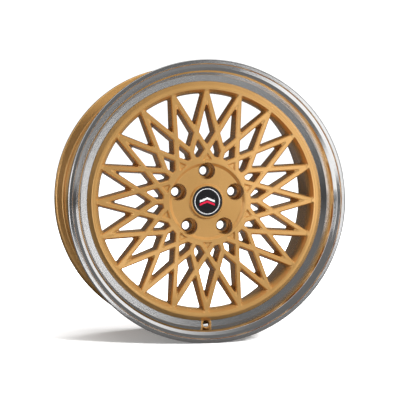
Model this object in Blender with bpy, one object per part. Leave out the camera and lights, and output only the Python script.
"""Forged mesh racing wheel rim, built as a modular three-piece wheel.

The spin axis is Y. The outboard face looks towards -Y and the wheel stands upright, +Z up. The origin is the
wheel's centre: on the spin axis, midway between the outer faces of the two flanges. Most sizes are written in
millimetres, as (radius, depth) with the depth measured back from the plane of the front flange's face, and MM
turns them into metres.
"""

import math

import bmesh
import bpy
from mathutils import Matrix, Vector

MM = 0.001

# Driving dimensions.
BEAD_SEAT_RADIUS = 231.0
FLANGE_RADIUS = 248.3
RIM_WIDTH = 203.2
FLANGE_THICKNESS = 12.4
OVERALL_WIDTH = RIM_WIDTH + 2 * FLANGE_THICKNESS
WELL_RADIUS = 213.7
GAP = 0.3

NODE_COUNT = 20
NODE_PITCH = math.tau / NODE_COUNT
NODE_RADIUS = 194.0
SPOKE_TANGENT_RADIUS = 49.8
OPENING_RADIUS = 193.5
SPOKE_EDGE_HALF_WIDTH = 4.4
SPOKE_BACK_HALF_WIDTH = 8.0
CORNER_FILLET = 1.6
CUTTER_MARGIN = 2.0

HUB_RIM_RADIUS = 68.2
HUB_EDGE_RADIUS = 71.0
HUB_EDGE_DEPTH = 20.0
HUB_PLATFORM_RADIUS = 79.5
RING_FRONT_DEPTH = 27.0
RING_CREST_INNER = 200.6
RING_CREST_OUTER = 204.2
RING_CREST_DEPTH = 23.7
RING_JOINT_DEPTH = 31.4
PAD_RADIUS = 64.0
PAD_DEPTH = 26.0
HUB_BOSS_RADIUS = 72.5
HUB_FACE_DEPTH = 66.0
LATTICE_BACK_AT_RING = 49.0
LATTICE_BACK_AT_HUB = 61.0

PILOT_RADIUS = 196.7
FLANGE_BORE_RADIUS = PILOT_RADIUS + GAP
RING_BACK_DEPTH = 38.0
PILOT_BACK_DEPTH = 46.5
RING_OUTER_RADIUS = 211.7
STEP_INNER_RADIUS = RING_OUTER_RADIUS + GAP
CLAMP_FLANGE_THICKNESS = 6.0
JOINT_DEPTH = RING_BACK_DEPTH + GAP + CLAMP_FLANGE_THICKNESS
INNER_FRONT_DEPTH = JOINT_DEPTH + GAP
INNER_FLANGE_BACK_DEPTH = INNER_FRONT_DEPTH + CLAMP_FLANGE_THICKNESS
BARREL_WALL = 4.2

FLANGE_CHAMFER = 2.0
FLANGE_CREST_RADIUS = 243.4
FLANGE_ROOT_RADIUS = 237.2
BEAD_CORNER_RADIUS = 232.9
BEAD_CORNER_DEPTH = 14.6
BEAD_SEAT_DEPTH = 19.0
HUMP_RADIUS = 230.9
HUMP_ROOT_RADIUS = 229.8
STEP_EDGE_RADIUS = 223.2
STEP_EDGE_DEPTH = 29.6
STEP_INNER_DEPTH = 31.8

BOLT_COUNT = NODE_COUNT
BOLT_CIRCLE_RADIUS = 203.5
BOLT_SHANK_RADIUS = 3.4
BOLT_HOLE_RADIUS = 3.9
BOLT_HEAD_RADIUS = 5.0
BOLT_HEAD_HEIGHT = 7.0
BOLT_TIP_DEPTH = 30.5
BOLT_HOLE_BOTTOM = 29.8

SEAL_GROOVE_INNER = 208.8
SEAL_GROOVE_OUTER = 211.6
SEAL_GROOVE_DEPTH = 2.4
SEAL_WIRE_RADIUS = 0.9

LUG_COUNT = 5
LUG_CIRCLE_RADIUS = 54.0
LUG_POCKET_RADIUS = 14.6
LUG_HOLE_RADIUS = 7.7
RELIEF_RADIUS = 9.0
RELIEF_MOUTH_RADIUS = 10.5
RELIEF_DEPTH = 14.0
SEAT_BORE_RADIUS = 13.5
SEAT_TOP_DEPTH = 47.5
SEAT_HEIGHT = 10.0
SEAT_MOUTH_RADIUS = 11.6
SEAT_THROAT_RADIUS = 7.3
SEAT_CONE_HEIGHT = 6.4

CAP_RECESS_RADIUS = 27.0
CAP_RECESS_DEPTH = 25.5
CAP_LIP_RADIUS = 24.5
CAP_LIP_BACK_DEPTH = 34.0
HUB_BORE_RADIUS = 36.25
SPIGOT_BORE_RADIUS = 31.7
SPIGOT_LENGTH = 11.0
SPIGOT_RECESS = 1.8
SPIGOT_CHAMFER = 1.2
CAP_BOSS_RADIUS = 28.4
CAP_BOSS_FOOT_RADIUS = 31.4
CAP_BOSS_DEPTH = 21.0
CAP_FACE_DEPTH = 22.2
CAP_RIM_RADIUS = 26.5
CAP_WELL_RADIUS = 23.2
CAP_WELL_DEPTH = 1.5
CAP_LEG_COUNT = 6
CAP_LEG_LENGTH = 12.8
CAP_LEG_THICKNESS = 2.0
CAP_LEG_LEAD_IN = 1.8
CAP_WEB = 0.6
CAP_SLOT_WIDTH = 4.4
TRIM_INNER_RADIUS = 21.6
TRIM_OUTER_RADIUS = 22.9
EMBLEM_RADIUS = 21.3
PLATE_THICKNESS = 1.2
CLIP_WIRE_RADIUS = 0.8
CLIP_FROM_LEG_END = 4.4

VALVE_RADIUS_FROM_AXIS = 217.6
VALVE_POCKET_RADIUS = 7.7
VALVE_POCKET_DEPTH = 33.0
VALVE_HOLE_RADIUS = 5.65
VALVE_TILT = math.radians(25)

VALVE_CUTTER_LENGTHS = (-6.0, 16.0)

RIM_SEGMENTS = 40
BORE_SEGMENTS = 32
LUG_SEGMENTS = 16
BOLT_SEGMENTS = 8
RELIEF_SEGMENTS = 12
WIRE_SEGMENTS = 6

GOLD = (0.62, 0.35, 0.12)
POLISHED = (0.80, 0.80, 0.80)
STEEL = (0.55, 0.55, 0.56)
ZINC = (0.62, 0.62, 0.60)
BLACK = (0.012, 0.012, 0.013)
SILVER = (0.70, 0.70, 0.71)
RUBBER = (0.02, 0.02, 0.02)


def clear_scene():
    """Remove whatever the scene holds."""
    for obj in list(bpy.data.objects):
        bpy.data.objects.remove(obj, do_unlink=True)


def make_material(name, colour, roughness, metallic):
    """One Principled material for a part."""
    material = bpy.data.materials.new(name)
    material.use_nodes = True
    shader = material.node_tree.nodes["Principled BSDF"]
    shader.inputs["Base Color"].default_value = (*colour, 1.0)
    shader.inputs["Roughness"].default_value = roughness
    shader.inputs["Metallic"].default_value = metallic
    material.diffuse_color = (*colour, 1.0)
    return material


def depth_to_y(depth):
    """World Y in metres of a depth behind the front flange's face."""
    return (depth - OVERALL_WIDTH / 2) * MM


def link_mesh(name, mesh, material):
    """A new object that holds this mesh, shaded smooth away from its sharp edges."""
    mesh.shade_smooth()
    mesh.set_sharp_from_angle(angle=math.radians(32))
    obj = bpy.data.objects.new(name, mesh)
    obj.data.materials.append(material)
    bpy.context.scene.collection.objects.link(obj)
    return obj


def mesh_from_loops(name, loops, closed_section):
    """Join rings of equal length into one closed surface.

    With closed_section the last ring joins the first, as on a turned ring. Otherwise the first and last rings
    are filled, as on a prism.
    """
    build = bmesh.new()
    rings = [[build.verts.new(point) for point in loop] for loop in loops]
    count = len(rings[0])
    pairs = list(zip(rings, rings[1:]))
    if closed_section:
        pairs.append((rings[-1], rings[0]))
    for first, second in pairs:
        for i in range(count):
            j = (i + 1) % count
            build.faces.new((first[i], first[j], second[j], second[i]))
    if not closed_section:
        build.faces.new(list(reversed(rings[0])))
        build.faces.new(rings[-1])
    bmesh.ops.recalc_face_normals(build, faces=build.faces)
    mesh = bpy.data.meshes.new(name)
    build.to_mesh(mesh)
    build.free()
    return mesh


def turned_ring(name, profile, segments, material):
    """A ring turned about the spin axis from a closed (radius, depth) profile.

    Its flats, not its corners, lie at the stated radius along X and Z, so the overall size is exact.
    """
    stretch = MM / math.cos(math.pi / segments)
    loops = []
    for radius, depth in profile:
        loop = []
        for i in range(segments):
            angle = math.tau * (i + 0.5) / segments
            loop.append((
                radius * stretch * math.cos(angle),
                depth_to_y(depth),
                radius * stretch * math.sin(angle),
            ))
        loops.append(loop)
    return link_mesh(name, mesh_from_loops(name, loops, True), material)


def flat_loop(outline, depth):
    """A ring of points over a plan outline in millimetres, all at one depth."""
    return [(x * MM, depth_to_y(depth), z * MM) for x, z in outline]


def face_loop(outline, rise):
    """A ring of points over a plan outline, this far in front of the spokes' top faces."""
    return [(x * MM, depth_to_y(face_depth(math.hypot(x, z)) - rise), z * MM) for x, z in outline]


def polar(radius, angle):
    """Plan point at this radius and angle."""
    return Vector((radius * math.cos(angle), radius * math.sin(angle)))


def spoke_side(node_angle, lean, offset):
    """The straight side of a spoke as (unit normal, distance from the axis).

    A spoke runs from its node on the ring and passes the axis at SPOKE_TANGENT_RADIUS. lean is +1 or -1, the
    way it leans round. offset moves the line away from the axis, in millimetres.
    """
    swing = math.acos(SPOKE_TANGENT_RADIUS / NODE_RADIUS)
    return polar(1.0, node_angle + lean * swing), SPOKE_TANGENT_RADIUS + offset


def crossing(first, second):
    """Where two lines, each given as (unit normal, distance), cross."""
    (a, c), (b, d) = first, second
    rows = Matrix(((a.x, a.y), (b.x, b.y)))
    return rows.inverted() @ Vector((c, d))


def on_circle(side, radius, near_angle):
    """The point of a line at this radius from the axis, on the side that looks towards near_angle."""
    normal, distance = side
    along = Vector((-normal.y, normal.x)) * math.sqrt(radius**2 - distance**2)
    towards = polar(1.0, near_angle)
    return max(normal * distance + along, normal * distance - along, key=lambda point: point @ towards)


def rounded(corners):
    """A convex outline with each corner cut by CORNER_FILLET, or by less where the sides are too short."""
    outline = []
    for i, corner in enumerate(corners):
        before = corners[i - 1] - corner
        after = corners[(i + 1) % len(corners)] - corner
        half = before.angle(after) / 2
        reach = min(CORNER_FILLET / math.tan(half), 0.45 * before.length, 0.45 * after.length)
        outline += [corner + before.normalized() * reach, corner + after.normalized() * reach]
    return outline


def outer_triangle(index, inset):
    """The opening between two neighbouring nodes, the ring and the spokes that cross between them."""
    low = index * NODE_PITCH
    high = low + NODE_PITCH
    sides = spoke_side(low, 1, inset), spoke_side(high, -1, inset)
    middle = (low + high) / 2
    radius = OPENING_RADIUS - (inset - SPOKE_EDGE_HALF_WIDTH)
    ends = [on_circle(side, radius, middle) for side in sides]
    arc = [polar(radius, middle + turn * NODE_PITCH / 7) for turn in (-1, 1)]
    return rounded([crossing(*sides), ends[0], *arc, ends[1]])


def diamond(index, inset):
    """The four-sided opening below a node, between its two spokes and its neighbours' two."""
    angle = index * NODE_PITCH
    own = spoke_side(angle, 1, -inset), spoke_side(angle, -1, -inset)
    far = spoke_side(angle + NODE_PITCH, -1, inset), spoke_side(angle - NODE_PITCH, 1, inset)
    return rounded([crossing(*own), crossing(own[0], far[0]), crossing(*far), crossing(own[1], far[1])])


def teardrop(index, inset):
    """The small opening close to the hub, between an odd node and an even one.

    Below an odd node the two spokes cross and run on to the hub. Below an even node they end in one radial rib.
    """
    rib_node = index + index % 2
    lean = 1 if rib_node == index else -1
    rib_angle = rib_node * NODE_PITCH
    cross_angle = rib_angle + lean * NODE_PITCH
    upper = spoke_side(rib_angle, lean, -inset), spoke_side(cross_angle, -lean, -inset)
    leg = spoke_side(cross_angle + lean * NODE_PITCH, -lean, inset)
    rib = polar(1.0, rib_angle + lean * math.pi / 2), inset
    growth = inset - SPOKE_EDGE_HALF_WIDTH
    platform = polar(1.0, rib_angle + lean * NODE_PITCH / 3), HUB_PLATFORM_RADIUS + growth
    return rounded([
        crossing(*upper),
        crossing(upper[0], leg),
        crossing(leg, platform),
        crossing(platform, rib),
        crossing(rib, upper[1]),
    ])


def face_depth(radius):
    """Depth of the spokes' top faces, which slope back from the hub to the ring."""
    along = (radius - HUB_EDGE_RADIUS) / (OPENING_RADIUS - HUB_EDGE_RADIUS)
    return HUB_EDGE_DEPTH + (RING_FRONT_DEPTH - HUB_EDGE_DEPTH) * min(max(along, 0.0), 1.0)


def opening_cutter(outline_of, index):
    """A cutter through the centre whose walls draw in towards the back, so that the spokes get wider there."""
    front = face_loop(outline_of(index, SPOKE_EDGE_HALF_WIDTH), CUTTER_MARGIN)
    back = flat_loop(outline_of(index, SPOKE_BACK_HALF_WIDTH), HUB_FACE_DEPTH + CUTTER_MARGIN)
    return mesh_from_loops("cutter", [front, back], False)


def turned_plug(profile, segments, centre=(0.0, 0.0), turn=0.0):
    """A solid plug turned about an axis along Y through a plan point, from (radius, depth) stations."""
    stretch = 1 / math.cos(math.pi / segments)
    loops = []
    for radius, depth in profile:
        loop = []
        for i in range(segments):
            point = Vector(centre) + polar(radius * stretch, turn + math.tau * (i + 0.5) / segments)
            loop.append((point.x * MM, depth_to_y(depth), point.y * MM))
        loops.append(loop)
    return mesh_from_loops("cutter", loops, False)


def cut(obj, meshes, label):
    """Cut these separate, non-touching solids out of an object with one applied Boolean."""
    build = bmesh.new()
    for mesh in meshes:
        build.from_mesh(mesh)
        bpy.data.meshes.remove(mesh)
    joined = bpy.data.meshes.new(label)
    build.to_mesh(joined)
    build.free()
    cutter = bpy.data.objects.new(label, joined)
    cutter.hide_render = True
    cutter.display_type = "WIRE"
    bpy.context.scene.collection.objects.link(cutter)
    modifier = obj.modifiers.new(label, "BOOLEAN")
    modifier.operation = "DIFFERENCE"
    modifier.solver = "EXACT"
    modifier.object = cutter
    return cutter


def lug_angles():
    """The five lug positions, one at the top."""
    return [math.pi / 2 + math.tau * i / LUG_COUNT for i in range(LUG_COUNT)]


def bolt_centres():
    """Plan points of the assembly bolts, one behind each node of the mesh."""
    return [polar(BOLT_CIRCLE_RADIUS, i * NODE_PITCH) for i in range(BOLT_COUNT)]


def make_centre(gold):
    """The forged mesh centre: turned blank, then its openings, lug pockets and bolt holes."""
    profile = [
        (CAP_LIP_RADIUS, CAP_RECESS_DEPTH),
        (CAP_RECESS_RADIUS, CAP_RECESS_DEPTH),
        (CAP_RECESS_RADIUS, CAP_BOSS_DEPTH + 1.0),
        (CAP_BOSS_RADIUS, CAP_BOSS_DEPTH),
        (CAP_BOSS_FOOT_RADIUS, PAD_DEPTH),
        (PAD_RADIUS, PAD_DEPTH),
        (HUB_RIM_RADIUS, HUB_EDGE_DEPTH + 0.6),
        (HUB_EDGE_RADIUS, HUB_EDGE_DEPTH),
        (OPENING_RADIUS, RING_FRONT_DEPTH),
        (RING_CREST_INNER, RING_CREST_DEPTH),
        (RING_CREST_OUTER, RING_CREST_DEPTH),
        (RING_OUTER_RADIUS, RING_JOINT_DEPTH),
        (RING_OUTER_RADIUS, RING_BACK_DEPTH),
        (PILOT_RADIUS, RING_BACK_DEPTH),
        (PILOT_RADIUS, PILOT_BACK_DEPTH),
        (OPENING_RADIUS - 1.5, LATTICE_BACK_AT_RING),
        (HUB_PLATFORM_RADIUS, LATTICE_BACK_AT_HUB),
        (HUB_BOSS_RADIUS, HUB_FACE_DEPTH),
        (HUB_BORE_RADIUS, HUB_FACE_DEPTH),
        (HUB_BORE_RADIUS, CAP_LIP_BACK_DEPTH),
        (CAP_LIP_RADIUS, CAP_LIP_BACK_DEPTH),
    ]
    centre = turned_ring("centre", profile, RIM_SEGMENTS, gold)
    openings = []
    for index in range(NODE_COUNT):
        openings += [opening_cutter(outline_of, index) for outline_of in (outer_triangle, diamond, teardrop)]
    cut(centre, openings, "mesh_openings")
    seat_floor = SEAT_TOP_DEPTH + SEAT_HEIGHT + GAP
    pocket = (
        (LUG_POCKET_RADIUS, HUB_EDGE_DEPTH - CUTTER_MARGIN),
        (LUG_POCKET_RADIUS, PAD_DEPTH + 1.0),
        (SEAT_BORE_RADIUS, SEAT_TOP_DEPTH),
        (SEAT_BORE_RADIUS, seat_floor),
        (LUG_HOLE_RADIUS, seat_floor),
        (LUG_HOLE_RADIUS, HUB_FACE_DEPTH + CUTTER_MARGIN),
    )
    relief = (
        (RELIEF_RADIUS, HUB_FACE_DEPTH - RELIEF_DEPTH),
        (RELIEF_MOUTH_RADIUS, HUB_FACE_DEPTH + CUTTER_MARGIN),
    )
    bolt_hole = ((BOLT_HOLE_RADIUS, BOLT_HOLE_BOTTOM), (BOLT_HOLE_RADIUS, RING_BACK_DEPTH + CUTTER_MARGIN))
    holes = []
    for angle in lug_angles():
        holes.append(turned_plug(pocket, LUG_SEGMENTS, polar(LUG_CIRCLE_RADIUS, angle), angle))
        between = polar(LUG_CIRCLE_RADIUS, angle + math.pi / LUG_COUNT)
        holes.append(turned_plug(relief, RELIEF_SEGMENTS, between))
    holes += [turned_plug(bolt_hole, BOLT_SEGMENTS, point) for point in bolt_centres()]
    cut(centre, holes, "lug_pockets_and_bolt_holes")
    return centre


def flange_bolt_holes(front, back):
    """Cutters for the bolt holes through a clamping flange between two depths."""
    stations = ((BOLT_HOLE_RADIUS, front - CUTTER_MARGIN), (BOLT_HOLE_RADIUS, back + CUTTER_MARGIN))
    return [turned_plug(stations, BOLT_SEGMENTS, point) for point in bolt_centres()]


def make_outer_rim_half(polished):
    """The polished front rim half, with the rolled flange, the stepped lip and the front bead seat."""
    profile = [
        (FLANGE_RADIUS, 8.0),
        (FLANGE_RADIUS, FLANGE_CHAMFER),
        (FLANGE_RADIUS - FLANGE_CHAMFER, 0.0),
        (241.6, 0.0),
        (239.8, 2.8),
        (234.4, 5.6),
        (229.4, 9.6),
        (226.8, 14.6),
        (STEP_EDGE_RADIUS, STEP_EDGE_DEPTH),
        (STEP_INNER_RADIUS, STEP_INNER_DEPTH),
        (STEP_INNER_RADIUS, RING_BACK_DEPTH + GAP),
        (FLANGE_BORE_RADIUS, RING_BACK_DEPTH + GAP),
        (FLANGE_BORE_RADIUS, JOINT_DEPTH),
        (WELL_RADIUS, JOINT_DEPTH),
        (229.0, 36.6),
        (HUMP_RADIUS, 34.4),
        (HUMP_ROOT_RADIUS, 31.6),
        (BEAD_SEAT_RADIUS, BEAD_SEAT_DEPTH),
        (BEAD_CORNER_RADIUS, BEAD_CORNER_DEPTH),
        (FLANGE_ROOT_RADIUS, FLANGE_THICKNESS),
        (FLANGE_CREST_RADIUS, FLANGE_THICKNESS),
    ]
    half = turned_ring("outer_rim_half", profile, RIM_SEGMENTS, polished)
    cut(half, flange_bolt_holes(RING_BACK_DEPTH + GAP, JOINT_DEPTH), "front_flange_holes")
    pocket = turned_plug(
        ((VALVE_POCKET_RADIUS, 20.0), (VALVE_POCKET_RADIUS, VALVE_POCKET_DEPTH)),
        LUG_SEGMENTS,
        polar(VALVE_RADIUS_FROM_AXIS, -math.pi / 2),
    )
    cut(half, [pocket], "valve_pocket")
    cut(half, [valve_hole_cutter()], "valve_hole")
    return half


def valve_hole_cutter():
    """The valve hole's cutter, tilted outwards from the pocket's floor to the tyre side of the rim."""
    plug = turned_plug([(VALVE_HOLE_RADIUS, depth) for depth in VALVE_CUTTER_LENGTHS], LUG_SEGMENTS)
    plug.transform(Matrix.Translation((0.0, -depth_to_y(0.0), 0.0)))
    plug.transform(Matrix.Rotation(-VALVE_TILT, 4, "X"))
    place = (0.0, depth_to_y(VALVE_POCKET_DEPTH), -VALVE_RADIUS_FROM_AXIS * MM)
    plug.transform(Matrix.Translation(place))
    return plug


def make_inner_rim_half(gold):
    """The rear rim half, with the well, the barrel, the rear bead seat and the rear flange."""
    back = OVERALL_WIDTH
    inner = WELL_RADIUS - BARREL_WALL
    groove_floor = INNER_FRONT_DEPTH + SEAL_GROOVE_DEPTH
    profile = [
        (FLANGE_BORE_RADIUS, INNER_FRONT_DEPTH),
        (SEAL_GROOVE_INNER, INNER_FRONT_DEPTH),
        (SEAL_GROOVE_INNER, groove_floor),
        (SEAL_GROOVE_OUTER, groove_floor),
        (SEAL_GROOVE_OUTER, INNER_FRONT_DEPTH),
        (WELL_RADIUS, INNER_FRONT_DEPTH),
        (WELL_RADIUS, 92.0),
        (225.6, 116.0),
        (227.6, 188.0),
        (HUMP_RADIUS, 193.4),
        (HUMP_ROOT_RADIUS, 196.4),
        (BEAD_SEAT_RADIUS, back - BEAD_SEAT_DEPTH),
        (BEAD_CORNER_RADIUS, back - BEAD_CORNER_DEPTH),
        (FLANGE_ROOT_RADIUS, back - FLANGE_THICKNESS),
        (FLANGE_CREST_RADIUS, back - FLANGE_THICKNESS),
        (FLANGE_RADIUS, back - 8.0),
        (FLANGE_RADIUS, back - FLANGE_CHAMFER),
        (FLANGE_RADIUS - FLANGE_CHAMFER, back),
        (241.6, back),
        (236.0, back - 5.4),
        (229.0, back - 8.6),
        (225.0, back - 14.0),
        (222.4, 190.0),
        (221.0, 118.0),
        (inner, 94.0),
        (inner, INNER_FLANGE_BACK_DEPTH),
        (FLANGE_BORE_RADIUS, INNER_FLANGE_BACK_DEPTH),
    ]
    half = turned_ring("inner_rim_half", profile, RIM_SEGMENTS, gold)
    cut(half, flange_bolt_holes(INNER_FRONT_DEPTH, INNER_FLANGE_BACK_DEPTH), "rear_flange_holes")
    return half


def wire_section(radius, depth, thickness):
    """The six-sided section of a round wire whose centre is at this radius and depth."""
    turns = [-math.tau * i / WIRE_SEGMENTS for i in range(WIRE_SEGMENTS)]
    return [(radius + thickness * math.cos(turn), depth + thickness * math.sin(turn)) for turn in turns]


def make_seal_ring(rubber):
    """The O-ring between the rim halves, in its groove."""
    middle = (SEAL_GROOVE_INNER + SEAL_GROOVE_OUTER) / 2
    section = wire_section(middle, INNER_FRONT_DEPTH + SEAL_GROOVE_DEPTH / 2, SEAL_WIRE_RADIUS)
    turned_ring("rim_seal_ring", section, RIM_SEGMENTS, rubber)


def make_bolts(zinc):
    """Socket-head bolts from behind, through both clamping flanges into the centre's ring."""
    head_front = INNER_FLANGE_BACK_DEPTH + GAP
    head_back = head_front + BOLT_HEAD_HEIGHT
    for number, point in enumerate(bolt_centres(), start=1):
        stations = (
            (BOLT_SHANK_RADIUS, BOLT_TIP_DEPTH),
            (BOLT_SHANK_RADIUS, head_front),
            (BOLT_HEAD_RADIUS, head_front),
            (BOLT_HEAD_RADIUS, head_back),
        )
        link_mesh(f"assembly_bolt_{number:02d}", turned_plug(stations, BOLT_SEGMENTS, point), zinc)


def make_seat_inserts(steel):
    """The conical lug seats, one at the bottom of each pocket."""
    outer = SEAT_BORE_RADIUS - GAP
    top = SEAT_TOP_DEPTH + GAP
    stretch = 1 / math.cos(math.pi / LUG_SEGMENTS)
    stations = (
        (SEAT_MOUTH_RADIUS, top),
        (outer, top),
        (outer, SEAT_TOP_DEPTH + SEAT_HEIGHT),
        (SEAT_THROAT_RADIUS, SEAT_TOP_DEPTH + SEAT_HEIGHT),
        (SEAT_THROAT_RADIUS, SEAT_TOP_DEPTH + SEAT_CONE_HEIGHT),
    )
    for number, angle in enumerate(lug_angles(), start=1):
        middle = polar(LUG_CIRCLE_RADIUS, angle)
        turns = [angle + math.tau * (i + 0.5) / LUG_SEGMENTS for i in range(LUG_SEGMENTS)]
        loops = []
        for radius, depth in stations:
            loops.append(flat_loop([middle + polar(radius * stretch, turn) for turn in turns], depth))
        name = f"seat_insert_{number}"
        link_mesh(name, mesh_from_loops(name, loops, True), steel)


def make_spigot_ring(black):
    """The hub-centring ring in the back of the hub bore."""
    outer = HUB_BORE_RADIUS - GAP
    back = HUB_FACE_DEPTH - SPIGOT_RECESS
    profile = [
        (SPIGOT_BORE_RADIUS, back - SPIGOT_LENGTH),
        (outer, back - SPIGOT_LENGTH),
        (outer, back),
        (SPIGOT_BORE_RADIUS + SPIGOT_CHAMFER, back),
        (SPIGOT_BORE_RADIUS, back - SPIGOT_CHAMFER),
    ]
    turned_ring("spigot_ring", profile, BORE_SEGMENTS, black)


def make_cap(black, silver, steel):
    """The centre cap: shell with sprung legs, trim ring, emblem plate and the wire ring inside the legs.

    All four hang from one empty on the cap's axis, along which the cap pulls off.
    """
    axis = bpy.data.objects.new("cap_axis", None)
    axis.location = (0.0, depth_to_y(CAP_FACE_DEPTH), 0.0)
    bpy.context.scene.collection.objects.link(axis)
    bpy.context.view_layer.update()
    seat = CAP_RECESS_DEPTH - GAP
    face = CAP_FACE_DEPTH
    leg_outer = CAP_LIP_RADIUS - 0.4
    leg_inner = leg_outer - CAP_LEG_THICKNESS
    leg_end = seat + CAP_LEG_LENGTH
    stations = (
        (CAP_WELL_RADIUS, face + CAP_WELL_DEPTH),
        (CAP_WELL_RADIUS, face),
        (CAP_RIM_RADIUS - 0.7, face + 0.3),
        (CAP_RIM_RADIUS, face + 1.2),
        (CAP_RIM_RADIUS, seat),
        (leg_outer, seat),
        (leg_outer, leg_end),
        (leg_inner - 1.2, leg_end),
        (leg_inner, leg_end - CAP_LEG_LEAD_IN),
        (leg_inner, seat + CAP_WEB),
    )
    shell = link_mesh("cap_shell", turned_plug(stations, BORE_SEGMENTS), black)
    slots = []
    for i in range(CAP_LEG_COUNT):
        direction = math.pi / 2 + math.tau * i / CAP_LEG_COUNT
        across = polar(CAP_SLOT_WIDTH / 2, direction + math.pi / 2)
        near = polar(leg_inner - 2 * CUTTER_MARGIN, direction)
        far = polar(leg_outer + CUTTER_MARGIN, direction)
        outline = [near - across, far - across, far + across, near + across]
        loops = [flat_loop(outline, depth) for depth in (seat + CAP_WEB + 1.0, leg_end + CUTTER_MARGIN)]
        slots.append(mesh_from_loops("cutter", loops, False))
    cut(shell, slots, "leg_slots")
    trim_profile = [
        (TRIM_INNER_RADIUS, face + PLATE_THICKNESS),
        (TRIM_INNER_RADIUS, face),
        (TRIM_OUTER_RADIUS, face),
        (TRIM_OUTER_RADIUS, face + PLATE_THICKNESS),
    ]
    trim = turned_ring("cap_trim_ring", trim_profile, BORE_SEGMENTS, silver)
    plate = (
        (EMBLEM_RADIUS, face + PLATE_THICKNESS),
        (EMBLEM_RADIUS, face + 0.4),
        (EMBLEM_RADIUS - 0.9, face + 0.1),
    )
    emblem = link_mesh("cap_emblem", turned_plug(plate, BORE_SEGMENTS), black)
    section = wire_section(leg_inner - GAP - CLIP_WIRE_RADIUS, leg_end - CLIP_FROM_LEG_END, CLIP_WIRE_RADIUS)
    clip = turned_ring("cap_clip_ring", section, BORE_SEGMENTS, steel)
    for piece in (shell, trim, emblem, clip):
        piece.parent = axis
        piece.matrix_parent_inverse = axis.matrix_world.inverted()


def main():
    """Build the whole wheel."""
    clear_scene()
    gold = make_material("gold_paint", GOLD, 0.38, 0.75)
    polished = make_material("polished_aluminium", POLISHED, 0.12, 1.0)
    steel = make_material("bare_steel", STEEL, 0.30, 1.0)
    zinc = make_material("zinc_plate", ZINC, 0.35, 1.0)
    black = make_material("black_plastic", BLACK, 0.25, 0.0)
    silver = make_material("silver_trim", SILVER, 0.20, 1.0)
    rubber = make_material("seal_rubber", RUBBER, 0.70, 0.0)
    make_centre(gold)
    make_outer_rim_half(polished)
    make_inner_rim_half(gold)
    make_seal_ring(rubber)
    make_bolts(zinc)
    make_seat_inserts(steel)
    make_spigot_ring(black)
    make_cap(black, silver, steel)


main()
